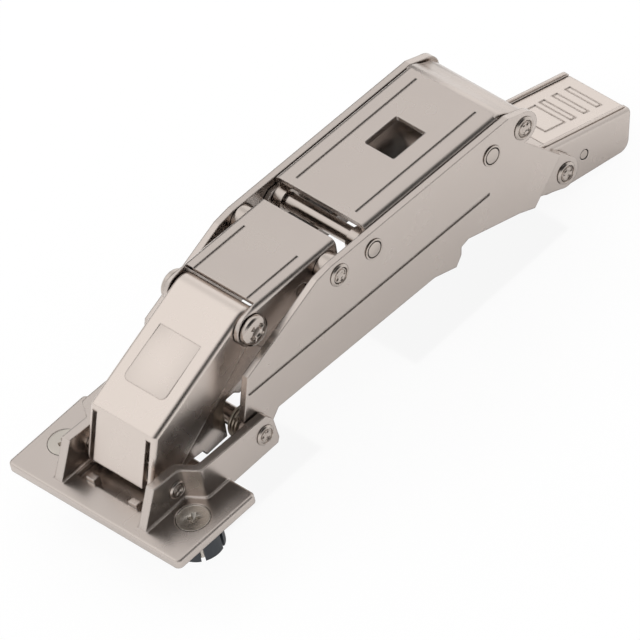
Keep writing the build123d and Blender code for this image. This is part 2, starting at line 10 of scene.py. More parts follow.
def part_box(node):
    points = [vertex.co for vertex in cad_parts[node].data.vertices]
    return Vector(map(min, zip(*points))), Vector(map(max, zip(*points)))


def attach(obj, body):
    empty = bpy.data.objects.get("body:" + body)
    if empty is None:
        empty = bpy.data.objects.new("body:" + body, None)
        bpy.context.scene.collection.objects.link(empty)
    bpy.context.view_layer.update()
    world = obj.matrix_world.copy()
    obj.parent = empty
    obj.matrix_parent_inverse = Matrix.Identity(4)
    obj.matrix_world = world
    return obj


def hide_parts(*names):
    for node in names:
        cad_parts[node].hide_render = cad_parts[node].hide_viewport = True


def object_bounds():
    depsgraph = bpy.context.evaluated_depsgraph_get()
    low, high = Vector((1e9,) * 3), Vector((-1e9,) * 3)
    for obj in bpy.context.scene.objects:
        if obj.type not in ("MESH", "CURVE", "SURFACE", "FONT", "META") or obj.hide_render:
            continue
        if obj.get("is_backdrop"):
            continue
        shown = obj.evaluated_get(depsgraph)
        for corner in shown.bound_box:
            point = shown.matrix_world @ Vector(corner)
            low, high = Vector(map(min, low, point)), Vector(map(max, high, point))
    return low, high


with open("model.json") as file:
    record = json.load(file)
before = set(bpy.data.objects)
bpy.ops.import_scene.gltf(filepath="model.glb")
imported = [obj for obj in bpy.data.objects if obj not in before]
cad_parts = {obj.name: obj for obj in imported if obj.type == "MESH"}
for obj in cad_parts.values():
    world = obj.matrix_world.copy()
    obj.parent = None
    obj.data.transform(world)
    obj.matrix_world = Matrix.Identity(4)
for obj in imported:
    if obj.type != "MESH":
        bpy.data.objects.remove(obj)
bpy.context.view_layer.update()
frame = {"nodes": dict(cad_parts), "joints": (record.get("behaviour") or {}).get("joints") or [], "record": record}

bl_info = {
    "name": "Wide-angle cabinet hinge",
    "version": (1, 0, 0),
    "blender": (4, 5, 0),
    "location": "3D View > Sidebar > Hinge",
    "description": "Finishes, rivet ends and studio of a wide-angle cabinet hinge",
    "category": "Add Mesh",
}

MM = 0.001

# The frame's own places, in metres
JOINT_AT = {joint["name"]: Vector(joint["pos_m"]) for joint in frame["joints"]}


SIDES = ((1, "right"), (-1, "left"))


def in_metres(outline):
    """An outline in millimetres, in metres."""
    return [(a * MM, b * MM) for a, b in outline]


def middle_of(node):
    """The middle of a node's box."""
    low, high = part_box(node)
    return (low + high) / 2


def linear_colour(text):
    """An sRGB hex value such as #C4BBB4 as a linear colour."""
    parts = [int(text[i:i + 2], 16) / 255 for i in (1, 3, 5)]
    return [p / 12.92 if p <= 0.04045 else ((p + 0.055) / 1.055) ** 2.4 for p in parts] + [1.0]


def add_node(tree, kind, settings=(), inputs=(), links=()):
    """Adds one node. settings are its fields, inputs its unlinked sockets, links what feeds it."""
    node = tree.nodes.new(kind)
    for field, value in dict(settings).items():
        setattr(node, field, value)
    for socket, value in dict(inputs).items():
        node.inputs[socket].default_value = value
    for socket, source in dict(links).items():
        tree.links.new(source, node.inputs[socket])
    return node


def new_material(name):
    """An empty node material and its output."""
    material = bpy.data.materials.new(name)
    material.use_nodes = True
    tree = material.node_tree
    tree.nodes.clear()
    return material, tree, add_node(tree, "ShaderNodeOutputMaterial")


# Patches in which plating looks duller or brighter: their size, and how far gloss and colour swing
CLOUD_MM = 9.0
CLOUD_RANGE = (0.15, 0.85)
DULLER, GLOSSIER = 0.04, 0.03
TINT_SWING = 0.025
# Painted shade: the colour is darkened in tight corners and grooves, where shade falls: its reach, and how shut or
# open a corner is
CORNER_MM = 0.5
CORNER_SHUT, CORNER_OPEN = 0.40, 0.80
# The rolled grain hardly shows, and breaks up the reflections
GRAIN_STRENGTH = 0.35
# The sockets of a Mix node in its colour mode
MIX_A, MIX_B, MIX_RESULT = 6, 7, 2


def plated_steel(name, colour, roughness, grain_mm, grain_depth_mm, edge_mm, corner_shade):
    """Plated steel: a metal with a soft rolled grain, cloudy gloss, painted shade in its corners and eased edges.
    """
    material, tree, output = new_material(name)
    place = add_node(tree, "ShaderNodeTexCoord")
    grain = add_node(
        tree, "ShaderNodeTexNoise",
        inputs={"Scale": 1 / (grain_mm * MM), "Detail": 3.0, "Roughness": 0.55},
        links={"Vector": place.outputs["Object"]},
    )
    clouds = add_node(
        tree, "ShaderNodeTexNoise",
        inputs={"Scale": 1 / (CLOUD_MM * MM), "Detail": 2.0, "Roughness": 0.5},
        links={"Vector": place.outputs["Object"]},
    )
    gloss = add_node(
        tree, "ShaderNodeMapRange",
        settings={"interpolation_type": "SMOOTHSTEP"},
        inputs={
            "From Min": CLOUD_RANGE[0], "From Max": CLOUD_RANGE[1],
            "To Min": roughness - GLOSSIER, "To Max": roughness + DULLER,
        },
        links={"Value": clouds.outputs["Fac"]},
    )
    plating = linear_colour(colour)[:3]
    tint = add_node(
        tree, "ShaderNodeMix",
        settings={"data_type": "RGBA", "blend_type": "MIX"},
        links={"Factor": clouds.outputs["Fac"]},
    )
    tint.inputs[MIX_A].default_value = [c * (1 - TINT_SWING) for c in plating] + [1.0]
    tint.inputs[MIX_B].default_value = [min(1.0, c * (1 + TINT_SWING)) for c in plating] + [1.0]
    # Painted shade: ambient occlusion darkens the plating's colour in corners, grooves and between parts
    corner = add_node(
        tree, "ShaderNodeAmbientOcclusion", settings={"samples": 8}, inputs={"Distance": CORNER_MM * MM},
    )
    corner_shade_amount = add_node(
        tree, "ShaderNodeMapRange",
        settings={"interpolation_type": "SMOOTHSTEP"},
        inputs={
            "From Min": CORNER_SHUT, "From Max": CORNER_OPEN, "To Min": corner_shade, "To Max": 1.0,
        },
        links={"Value": corner.outputs["AO"]},
    )
    painted_corner_shade = add_node(
        tree, "ShaderNodeMix",
        settings={"data_type": "RGBA", "blend_type": "MULTIPLY"},
        inputs={"Factor": 1.0},
    )
    tree.links.new(tint.outputs[MIX_RESULT], painted_corner_shade.inputs[MIX_A])
    tree.links.new(corner_shade_amount.outputs["Result"], painted_corner_shade.inputs[MIX_B])
    edge = add_node(tree, "ShaderNodeBevel", settings={"samples": 4}, inputs={"Radius": edge_mm * MM})
    relief = add_node(
        tree, "ShaderNodeBump",
        inputs={"Strength": GRAIN_STRENGTH, "Distance": grain_depth_mm * MM},
        links={"Height": grain.outputs["Fac"], "Normal": edge.outputs["Normal"]},
    )
    shader = add_node(
        tree, "ShaderNodeBsdfPrincipled",
        inputs={"Metallic": 1.0},
        links={
            "Base Color": painted_corner_shade.outputs[MIX_RESULT],
            "Roughness": gloss.outputs["Result"],
            "Normal": relief.outputs["Normal"],
        },
    )
    tree.links.new(shader.outputs["BSDF"], output.inputs["Surface"])
    return material


# Glass-filled nylon: its pits, drawn as coarse as they need to show, its roughness and its IOR
NYLON_PIT_MM = 0.5
NYLON_PIT_DEPTH_MM = 0.03
NYLON_GLOSS = (0.36, 0.52)
NYLON_IOR = 1.53


def moulded_nylon(name, colour):
    """Glass-filled nylon straight from the mould: dark, fairly dull, with a fine pitted skin."""
    material, tree, output = new_material(name)
    place = add_node(tree, "ShaderNodeTexCoord")
    pits = add_node(
        tree, "ShaderNodeTexNoise",
        inputs={"Scale": 1 / (NYLON_PIT_MM * MM), "Detail": 4.0},
        links={"Vector": place.outputs["Object"]},
    )
    gloss = add_node(
        tree, "ShaderNodeMapRange",
        inputs={"To Min": NYLON_GLOSS[0], "To Max": NYLON_GLOSS[1]},
        links={"Value": pits.outputs["Fac"]},
    )
    relief = add_node(
        tree, "ShaderNodeBump",
        inputs={"Strength": 0.3, "Distance": NYLON_PIT_DEPTH_MM * MM},
        links={"Height": pits.outputs["Fac"]},
    )
    shader = add_node(
        tree, "ShaderNodeBsdfPrincipled",
        inputs={"Base Color": linear_colour(colour), "IOR": NYLON_IOR},
        links={"Roughness": gloss.outputs["Result"], "Normal": relief.outputs["Normal"]},
    )
    tree.links.new(shader.outputs["BSDF"], output.inputs["Surface"])
    return material


def studio_surface(name, colour, shadow_share):
    """A matt floor. The camera sees it nearly white, with a share of the object's shadow."""
    material, tree, output = new_material(name)
    ray = add_node(tree, "ShaderNodeLightPath")
    paint = add_node(tree, "ShaderNodeBsdfDiffuse", inputs={"Color": linear_colour(colour)})
    glow = add_node(tree, "ShaderNodeEmission", inputs={"Color": linear_colour(colour), "Strength": 1.0})
    share = add_node(
        tree, "ShaderNodeMath", settings={"operation": "MULTIPLY"}, inputs={1: 1.0 - shadow_share},
        links={0: ray.outputs["Is Camera Ray"]},
    )
    surface = add_node(
        tree, "ShaderNodeMixShader",
        links={0: share.outputs["Value"], 1: paint.outputs["BSDF"], 2: glow.outputs["Emission"]},
    )
    tree.links.new(surface.outputs["Shader"], output.inputs["Surface"])
    return material


# Filled by the first operator: a finish for each of the record's material slots, and the plating painted lighter
# as a highlight
FINISH_OF_SLOT = {}


def make_finishes(colours):
    """Every finish of the hinge, by the name that the operators use."""
    FINISH_OF_SLOT.update({
        # Cold-rolled sheet, pressed and then nickel plated: warm grey, softly mirrored, rounded arrises
        "pressed_steel": plated_steel(
            "nickel_plated_pressed_sheet", colours.sheet_colour,
            roughness=0.25, grain_mm=0.35, grain_depth_mm=0.002, edge_mm=0.55, corner_shade=0.10,
        ),
        # The same plating painted lighter, a painted highlight on the pieces whose tops catch more light, with
        # weaker painted shade in their shallow marks
        "painted_highlight_steel": plated_steel(
            "nickel_plated_sheet_painted_highlight", colours.painted_highlight_colour,
            roughness=0.28, grain_mm=0.35, grain_depth_mm=0.002, edge_mm=0.55, corner_shade=0.75,
        ),
        # Turned and plated pins: tighter gloss and crisper edges than the sheet
        "pin_steel": plated_steel(
            "nickel_plated_turned_pin", colours.pin_colour,
            roughness=0.20, grain_mm=0.25, grain_depth_mm=0.002, edge_mm=0.10, corner_shade=0.10,
        ),
        # Drawn spring wire: darker, with the die's dull skin
        "spring_steel": plated_steel(
            "drawn_spring_wire", colours.wire_colour,
            roughness=0.30, grain_mm=0.20, grain_depth_mm=0.004, edge_mm=0.05, corner_shade=0.10,
        ),
        # Zinc plated screws: a little greyer and more open than nickel
        "screw_steel": plated_steel(
            "zinc_plated_screw", colours.screw_colour,
            roughness=0.26, grain_mm=0.25, grain_depth_mm=0.003, edge_mm=0.12, corner_shade=0.10,
        ),
        # Dowels: black glass-filled nylon
        "dowel_plastic": moulded_nylon("moulded_black_nylon", colours.dowel_colour),
    })


def dress(name, finish):
    """Gives a CAD node one finish."""
    node = frame["nodes"][name]
    node.data.materials.clear()
    node.data.materials.append(FINISH_OF_SLOT[finish])
    for face in node.data.polygons:
        face.material_index = 0


def select_none():
    """Leaves nothing selected, so that the next operator acts on the new piece alone."""
    bpy.ops.object.select_all(action="DESELECT")


# Edges that turn less than this are smoothed, and those that turn more are eased
SMOOTH_ANGLE = 35


def finish_piece(piece, name, finish, body):
    """Names a new piece, applies its place, smooths it, dresses it and puts it on its body."""
    piece.name = name
    piece.data.name = name
    bpy.ops.object.transform_apply(location=True, rotation=True, scale=True)
    bpy.ops.object.shade_smooth_by_angle(angle=math.radians(SMOOTH_ANGLE))
    piece.data.materials.clear()
    piece.data.materials.append(FINISH_OF_SLOT[finish])
    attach(piece, body)
    return piece


# A face looks along an axis when this much of its normal lies on it, and less on a dome or a taper
STRAIGHT = 0.9
DOMED = 0.8
TAPERED = 0.7


def select_faces(piece, wanted):
    """In edit mode, selects the faces whose middle and normal the test takes."""
    bpy.ops.mesh.select_mode(type="FACE")
    bpy.ops.mesh.select_all(action="DESELECT")
    mesh = bmesh.from_edit_mesh(piece.data)
    for face in mesh.faces:
        if wanted(face.calc_center_median(), face.normal):
            face.select_set(True)
    bmesh.update_edit_mesh(piece.data)


def faces_outer_end(middle, normal):
    """The test for a disc's end that faces +X."""
    return normal.x > STRAIGHT


def faces_up(middle, normal):
    """The test for what faces +Z."""
    return normal.z > STRAIGHT


def faces_down(middle, normal):
    """The test for what faces -Z."""
    return normal.z < -STRAIGHT


def steps_inward(steps, across=1.0, up=1.0):
    """Insets what is selected step by step: an inset in shares of across, and a rise in shares of up."""
    for inset, rise in steps:
        bpy.ops.mesh.inset(thickness=inset * across, depth=rise * up)


def ease_edges(piece, width, segments=2, angle=SMOOTH_ANGLE):
    """Rounds the sharp edges of a piece for good."""
    select_none()
    piece.select_set(True)
    bpy.context.view_layer.objects.active = piece
    bevel = piece.modifiers.new("eased_edges", "BEVEL")
    bevel.width = width
    bevel.segments = segments
    bevel.limit_method = "ANGLE"
    bevel.angle_limit = math.radians(angle)
    bpy.ops.object.modifier_apply(modifier=bevel.name)


def disc_along_x(radius, height, sides, start):
    """A disc with its axis along X, from a start to start + height."""
    select_none()
    bpy.ops.mesh.primitive_cylinder_add(
        vertices=sides, radius=radius, depth=height,
        location=(start + height / 2, 0, 0), rotation=(0, math.pi / 2, 0),
    )
    bpy.ops.object.transform_apply(location=True, rotation=True, scale=True)
    return bpy.context.object


def select_stroke(piece, radius, shares, span):
    """Selects a round end's faces between two shares of its radius and two angles about X, in degrees."""
    def in_stroke(middle, normal):
        share = math.hypot(middle.y, middle.z) / radius
        turn = math.degrees(math.atan2(middle.z, middle.y)) % 360
        return normal.x > DOMED and shares[0] < share < shares[1] and span[0] <= turn <= span[1]
    select_faces(piece, in_stroke)


def copy_at(pattern, name, place, facing, turn):
    """A copy with its own mesh, turned about X, facing +X or -X, at a place."""
    piece = bpy.data.objects.new(name, pattern.data.copy())
    bpy.context.scene.collection.objects.link(piece)
    side = Matrix.Identity(4) if facing > 0 else Matrix.Rotation(math.pi, 4, "Z")
    piece.matrix_world = Matrix.Translation(place) @ side @ Matrix.Rotation(turn, 4, "X")
    select_none()
    piece.select_set(True)
    bpy.context.view_layer.objects.active = piece
    return piece


# The disc that an outline starts from. All its vertices are moved, so its size doesn't show
OUTLINE_DISC = 5 * MM


def outline_plate(name, outline, start, thickness):
    """A sheet from an outline in the Y Z plane: a disc's vertices are moved on to it and drawn out."""
    select_none()
    bpy.ops.mesh.primitive_circle_add(
        vertices=len(outline), radius=OUTLINE_DISC, fill_type="NGON", rotation=(0, math.pi / 2, 0),
    )
    piece = bpy.context.object
    piece.name = name
    bpy.ops.object.transform_apply(location=True, rotation=True, scale=True)
    bpy.ops.object.mode_set(mode="EDIT")
    bpy.ops.mesh.select_mode(type="VERT")
    for index, (y, z) in enumerate(outline):
        bpy.ops.mesh.select_all(action="DESELECT")
        mesh = bmesh.from_edit_mesh(piece.data)
        mesh.verts.ensure_lookup_table()
        mesh.verts[index].select_set(True)
        bmesh.update_edit_mesh(piece.data)
        bpy.ops.transform.translate(value=Vector((start, y, z)) - mesh.verts[index].co)
    bpy.ops.mesh.select_all(action="SELECT")
    bpy.ops.mesh.extrude_region_move(TRANSFORM_OT_translate={"value": (thickness, 0, 0)})
    bpy.ops.mesh.select_all(action="SELECT")
    bpy.ops.mesh.normals_make_consistent(inside=False)
    bpy.ops.object.mode_set(mode="OBJECT")
    return piece


class HingeFinishSettings(bpy.types.PropertyGroup):
    """The colours of the finishes, in sRGB hex, as seen under plain light."""
    sheet_colour: bpy.props.StringProperty(
        name="Pressed sheet", description="Nickel on the pressed pieces", default="#C7BDB6",
    )
    # A painted highlight: the same nickel, painted lighter for the pieces whose tops catch more light
    painted_highlight_colour: bpy.props.StringProperty(
        name="Bright sheet", description="Nickel on the flatter, brighter stampings", default="#D6CBC3",
    )
    pin_colour: bpy.props.StringProperty(
        name="Pins", description="Nickel on turned pins and rivets", default="#C0B6AE",
    )
    wire_colour: bpy.props.StringProperty(
        name="Spring wire", description="Bare drawn wire", default="#AFA496",
    )
    screw_colour: bpy.props.StringProperty(
        name="Screws", description="Zinc on the plate screws", default="#C4BDB4",
    )
    dowel_colour: bpy.props.StringProperty(
        name="Dowels", description="Black nylon", default="#23282F",
    )
    # Gives the front link and the release lever the plating painted lighter, a painted highlight
    painted_highlight_parts: bpy.props.BoolProperty(
        name="Brighter stampings",
        description="Front link and release lever take the brighter plating",
        default=True,
    )


class HingeStageSettings(bpy.types.PropertyGroup):
    """Camera, floor and light."""
    frame_width: bpy.props.FloatProperty(
        name="Frame width", description="Width of the picture at the hinge",
        default=158.4 * MM, unit="LENGTH",
    )
    lens: bpy.props.FloatProperty(
        name="Lens", description="A very long lens, for nearly parallel lines",
        default=1000.0, unit="CAMERA",
    )
    floor_gap: bpy.props.FloatProperty(
        name="Floor gap", description="Height of the hinge's lowest point over the floor",
        default=1.0 * MM, unit="LENGTH",
    )
    floor_size: bpy.props.FloatProperty(
        name="Floor size", description="Side of the floor", default=12.0, unit="LENGTH",
    )


class HingeDetailSettings(bpy.types.PropertyGroup):
    """Sizes of the pieces that are added to the pressed parts."""
    end_radius: bpy.props.FloatProperty(
        name="Pin end radius", description="Outer radius of a peened pin end",
        default=3.1 * MM, unit="LENGTH",
    )
    end_height: bpy.props.FloatProperty(
        name="Pin end height", description="How far a peened end stands out",
        default=0.62 * MM, unit="LENGTH",
    )
    rivet_radius: bpy.props.FloatProperty(
        name="Rivet head radius", description="Radius of the link rivet's head",
        default=4.2 * MM, unit="LENGTH",
    )
    rod_end_radius: bpy.props.FloatProperty(
        name="Rod end radius", description="Radius of the rods' flat ends",
        default=2.9 * MM, unit="LENGTH",
    )
    cheek_sheet: bpy.props.FloatProperty(
        name="Cheek sheet", description="Sheet thickness of the front link's cheeks",
        default=1.25 * MM, unit="LENGTH",
    )
    skirt_sheet: bpy.props.FloatProperty(
        name="Skirt sheet", description="Sheet thickness of the middle link's deeper walls",
        default=1.2 * MM, unit="LENGTH",
    )
    apron_sheet: bpy.props.FloatProperty(
        name="Apron sheet", description="Sheet thickness of the cover's apron",
        default=1.0 * MM, unit="LENGTH",
    )
    lip_width: bpy.props.FloatProperty(
        name="Lip width", description="Width of the lips along the arm",
        default=0.75 * MM, unit="LENGTH",
    )
    wire_radius: bpy.props.FloatProperty(
        name="Spring wire", description="Radius of the closing spring's wire",
        default=0.52 * MM, unit="LENGTH",
    )
    spring_pitch: bpy.props.FloatProperty(
        name="Spring pitch", description="From one turn of the closing spring to the next",
        default=1.04 * MM, unit="LENGTH",
    )


# Pins with peened ends: node, outer face of the wall, size of the end, body
PEENED_PINS = (
    ("rear_axle", 20.9 * MM, 0.90, "plate"),
    ("front_axle", 16.0 * MM, 0.85, "plate"),
    ("centre_pins", 18.0 * MM, 1.0, "main_lever"),
    ("tail_pin", 18.0 * MM, 1.05, "main_lever"),
    ("arm_axle", 14.4 * MM, 1.0, "main_lever"),
)
# From the rim inwards, each step an inset in shares of the radius and a rise in shares of the height:
# collar, land, ring groove, boss and the dimple that the peen leaves
PIN_END_STEPS = (
    (0.16, 0.60), (0.07, 0.0), (0.05, -0.85), (0.12, 0.0), (0.05, 0.80), (0.26, 0.0), (0.06, -0.30),
    (0.05, 0.0),
)
PIN_END_SIDES = 28
PIN_END_BASE = 0.4
PIN_END_EDGE = 0.05 * MM
# Three strokes of the peening tool between two radii: their angles, and each stroke's inset and depth
PIN_STROKES = ((10, 75), (120, 160), (200, 290))
PIN_STROKE_RADII = (0.30, 0.52)
PIN_STROKE = (0.05, -0.62)
# No two ends are turned alike
PIN_TURN_FIRST, PIN_TURN_STEP = 25, 52


class HINGE_OT_pin_ends(bpy.types.Operator):
    """Peen the ends of the pins that pass through the walls"""
    bl_idname = "hinge.pin_ends"
    bl_label = "Peen the pin ends"

    def execute(self, context):
        size = context.scene.hinge_detail
        radius, height = size.end_radius, size.end_height
        pattern = disc_along_x(radius, PIN_END_BASE * height, PIN_END_SIDES, 0.0)
        bpy.ops.object.mode_set(mode="EDIT")
        select_faces(pattern, faces_outer_end)
        steps_inward(PIN_END_STEPS, radius, height)
        for span in PIN_STROKES:
            select_stroke(pattern, radius, PIN_STROKE_RADII, span)
            steps_inward((PIN_STROKE,), radius, height)
        bpy.ops.object.mode_set(mode="OBJECT")
        ease_edges(pattern, PIN_END_EDGE)
        for index, (pin, wall, scale, body) in enumerate(PEENED_PINS):
            place = middle_of(pin)
            turn = math.radians(PIN_TURN_FIRST + PIN_TURN_STEP * index)
            for facing, side in SIDES:
                where = Vector((facing * wall, place.y, place.z))
                end = copy_at(pattern, f"{pin}_end_{side}", where, facing, turn)
                end.scale = (1.0, scale, scale)
                finish_piece(end, end.name, "pin_steel", body)
        bpy.data.objects.remove(pattern)
        return {"FINISHED"}


RIVET_HEAD = 1.9 * MM
RIVET_SHANK = 2.2 * MM
RIVET_SIDES = 32
# The domed head, from its rim inwards, as for the pin ends, and its rim's own share of the height
RIVET_RIM = 0.55
RIVET_DOME_STEPS = ((0.07, 0.20), (0.12, 0.13), (0.20, 0.09), (0.24, 0.02))
RIVET_STROKES = ((15, 60), (100, 140), (185, 250), (290, 325))
RIVET_STROKE_RADII = (0.42, 0.58)
RIVET_STROKE = (0.05, -0.34)
RIVET_DIMPLE = (0.08, -0.26)
RIVET_DIMPLE_WITHIN = 0.1
RIVET_HEAD_EDGE, RIVET_SHANK_EDGE = 0.08 * MM, 0.1 * MM
RIVET_LEFT_TURN = 40


class HINGE_OT_link_rivet(bpy.types.Operator):
    """Upset the link rivet: a shank with a domed and peened head at each end"""
    bl_idname = "hinge.link_rivet"
    bl_label = "Upset the link rivet"

    def execute(self, context):
        radius = context.scene.hinge_detail.rivet_radius
        place = middle_of("link_rivet")
        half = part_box("link_rivet")[1].x
        under_head = half - RIVET_HEAD
        head = disc_along_x(radius, RIVET_RIM * RIVET_HEAD, RIVET_SIDES, under_head)
        bpy.ops.object.mode_set(mode="EDIT")
        select_faces(head, faces_outer_end)
        steps_inward(RIVET_DOME_STEPS, radius, RIVET_HEAD)
        for span in RIVET_STROKES:
            select_stroke(head, radius, RIVET_STROKE_RADII, span)
            steps_inward((RIVET_STROKE,), radius, RIVET_HEAD)
        within = RIVET_DIMPLE_WITHIN * radius
        select_faces(
            head,
            lambda middle, normal: normal.x > STRAIGHT and math.hypot(middle.y, middle.z) < within,
        )
        steps_inward((RIVET_DIMPLE,), radius, RIVET_HEAD)
        bpy.ops.object.mode_set(mode="OBJECT")
        ease_edges(head, RIVET_HEAD_EDGE)
        other = copy_at(head, "rivet_head_left", Vector(), -1, math.radians(RIVET_LEFT_TURN))
        bpy.ops.object.transform_apply(location=True, rotation=True, scale=True)
        shank = disc_along_x(RIVET_SHANK, 2 * under_head, RIVET_SIDES, -under_head)
        ease_edges(shank, RIVET_SHANK_EDGE)
        select_none()
        for part in (head, other, shank):
            part.select_set(True)
        bpy.context.view_layer.objects.active = head
        bpy.ops.object.join()
        head.location = (0, place.y, place.z)
        rivet = finish_piece(head, "link_rivet_peened", "pin_steel", "front_link")
        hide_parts("link_rivet")
        return {"FINISHED"}


# The cheek's outline, clear of the rear axle and the door plate over the whole travel
CHEEK_OUTLINE = (
    (8.0, 6.2), (14.2, 5.6), (15.9, 5.4), (16.8, 3.4), (24.2, 3.6), (24.6, 8.6), (25.0, 12.6), (26.7, 14.5),
    (29.3, 14.5), (31.0, 13.0), (36.5, 14.0), (41.6, 18.2), (42.6, 24.0), (41.5, 28.2), (34.0, 26.0),
    (14.0, 14.0),
)
# Added walls lie this far inside the wall that they deepen, so that no two faces share a plane
WALL_STEP = 0.02 * MM
ADDED_WALL_EDGE = 0.25 * MM


class HINGE_OT_cheeks(bpy.types.Operator):
    """Add the deep cheeks inside the front link's walls"""
    bl_idname = "hinge.cheeks"
    bl_label = "Add the front link's cheeks"

    def execute(self, context):
        sheet = context.scene.hinge_detail.cheek_sheet
        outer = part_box("front_link")[1].x
        outline = in_metres(CHEEK_OUTLINE)
        for side, start in (("right", outer - sheet - WALL_STEP), ("left", -outer + WALL_STEP)):
            cheek = outline_plate(f"front_link_cheek_{side}", outline, start, sheet)
            ease_edges(cheek, ADDED_WALL_EDGE)
            finish_piece(cheek, cheek.name, "pressed_steel", "front_link")
        return {"FINISHED"}


# The deeper wall of the middle link, below the wall that the link has already
SKIRT_OUTLINE = (
    (36.4, 27.4), (38.6, 24.4), (40.4, 21.6), (42.0, 20.8), (47.6, 22.2), (58.0, 24.6), (62.6, 26.4),
    (62.0, 28.6), (40.0, 30.4),
)


class HINGE_OT_middle_skirts(bpy.types.Operator):
    """Deepen the middle link's walls, which run down beside the rivet in the photo"""
    bl_idname = "hinge.middle_skirts"
    bl_label = "Deepen the middle link's walls"

    def execute(self, context):
        sheet = context.scene.hinge_detail.skirt_sheet
        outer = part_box("middle_link")[1].x - WALL_STEP
        outline = in_metres(SKIRT_OUTLINE)
        for side, start in (("right", outer - sheet), ("left", -outer)):
            skirt = outline_plate(f"middle_link_skirt_{side}", outline, start, sheet)
            ease_edges(skirt, ADDED_WALL_EDGE)
            finish_piece(skirt, skirt.name, "pressed_steel", "middle_link")
        return {"FINISHED"}


# The rods' flat ends: rim, groove with steep sides, and land, in from the edge
ROD_END_HEIGHT = 0.36 * MM
ROD_END_SIDES = 32
ROD_END_STEPS = ((0.45 * MM, 0.0), (0.06 * MM, -0.34 * MM), (0.26 * MM, 0.0), (0.06 * MM, 0.34 * MM))
ROD_END_EDGE = 0.04 * MM


class HINGE_OT_rod_ends(bpy.types.Operator):
    """Set the rods' flat ends in the side plates, each with a turned ring"""
    bl_idname = "hinge.rod_ends"
    bl_label = "Set the rods' ends"

    def execute(self, context):
        radius = context.scene.hinge_detail.rod_end_radius
        pattern = disc_along_x(radius, ROD_END_HEIGHT, ROD_END_SIDES, 0.0)
        bpy.ops.object.mode_set(mode="EDIT")
        select_faces(pattern, faces_outer_end)
        steps_inward(ROD_END_STEPS)
        bpy.ops.object.mode_set(mode="OBJECT")
        ease_edges(pattern, ROD_END_EDGE)
        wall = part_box("side_plate_right")[1].x
        for pin in ("front_rod", "rear_rod"):
            place = middle_of(pin)
            for facing, side in SIDES:
                where = Vector((facing * wall, place.y, place.z))
                end = copy_at(pattern, f"{pin}_end_{side}", where, facing, 0.0)
                finish_piece(end, end.name, "pin_steel", "main_lever")
        bpy.data.objects.remove(pattern)
        return {"FINISHED"}


# The front link's top: its fold, its slope and where the field lies on it
FIELD_CORNER_AT = (2.8, 21.5)
FIELD_SLOPE = 22.22
FIELD_START, FIELD_END = 9.1 * MM, 27.0 * MM
FIELD_HALF = 7.3 * MM
FIELD_CORNER = 1.8 * MM
FIELD_CORNER_TURNS = range(0, 91, 18)
# It stands proud at the fold and sinks into the sheet towards the rivet
FIELD_RISE = 0.13 * MM
FIELD_SINK = 0.07 * MM
FIELD_SHEET = 0.5 * MM
FIELD_EDGE = 0.10 * MM


class HINGE_OT_field(bpy.types.Operator):
    """Press the flat field on the front link's top, which runs out towards the rivet"""
    bl_idname = "hinge.field"
    bl_label = "Press the front link's field"

    def execute(self, context):
        slope = math.radians(FIELD_SLOPE)
        rounding = []
        for turn in FIELD_CORNER_TURNS:
            across = FIELD_HALF - FIELD_CORNER * (1 - math.sin(math.radians(turn)))
            up = FIELD_START + FIELD_CORNER * (1 - math.cos(math.radians(turn)))
            rounding.append((across, up))
        outline = rounding + [(FIELD_HALF, FIELD_END), (-FIELD_HALF, FIELD_END)]
        outline += [(-across, up) for across, up in reversed(rounding)]
        field = outline_plate("front_link_field", outline, -FIELD_SHEET, FIELD_SHEET)
        ease_edges(field, FIELD_EDGE)
        along = Vector((0, math.cos(slope), math.sin(slope)))
        normal = Vector((0, -math.sin(slope), math.cos(slope)))
        tilt = Matrix.Rotation((FIELD_RISE + FIELD_SINK) / (FIELD_END - FIELD_START), 4, "X").inverted()
        axes = Matrix((normal, Vector((1, 0, 0)), along)).transposed().to_4x4()
        fold = Vector((0, *FIELD_CORNER_AT)) * MM
        to_place = Matrix.Translation(fold + along * FIELD_START + normal * FIELD_RISE)
        to_start = Matrix.Translation(-along * FIELD_START)
        field.matrix_world = to_place @ tilt @ to_start @ axes
        # The field takes the plating painted lighter, a painted highlight
        finish_piece(field, field.name, "painted_highlight_steel", "front_link")
        return {"FINISHED"}


# The arm's lips, along its slope and square to it, and across the hinge
ARM_SLOPE = -18.6
LIP_OUTLINE = ((-12.6, 7.0), (24.6, 7.0), (24.6, 7.6), (24.0, 8.05), (-12.0, 8.05), (-12.6, 7.6))
LIP_INNER = 9.8 * MM
LIP_ROLL = 0.18 * MM


class HINGE_OT_arm_lips(bpy.types.Operator):
    """Roll the two lips along the arm's top, beside the release lever"""
    bl_idname = "hinge.arm_lips"
    bl_label = "Roll the arm's lips"

    def execute(self, context):
        width = context.scene.hinge_detail.lip_width
        place = JOINT_AT["arm_pivot"]
        outline = in_metres(LIP_OUTLINE)
        for side, start in (("right", LIP_INNER), ("left", -LIP_INNER - width)):
            lip = outline_plate(f"arm_lip_{side}", outline, start, width)
            ease_edges(lip, LIP_ROLL, segments=3)
            lip.location = place
            lip.rotation_euler = (math.radians(ARM_SLOPE), 0, 0)
            # The lips take the plating painted lighter, a painted highlight along the arm's edges
            finish_piece(lip, lip.name, "painted_highlight_steel", "arm")
        return {"FINISHED"}


# Countersunk screws: head, and under it the cone, shank and point, each from a radius to a radius over
# a drop, in millimetres
SCREW_TOP = 2.48 * MM
SCREW_HEAD = 4.4 * MM
SCREW_RIM = 0.3 * MM
SCREW_SIDES = 40
SCREW_SPACING = 45 * MM
SCREW_STEPS = ((4.4, 2.0, 2.1), (2.0, 2.0, 5.3), (2.0, 0.8, 0.5))
SCREW_DISH = ((0.22 * MM, 0.0), (0.05 * MM, -0.06 * MM))
SCREW_EDGE = 0.07 * MM
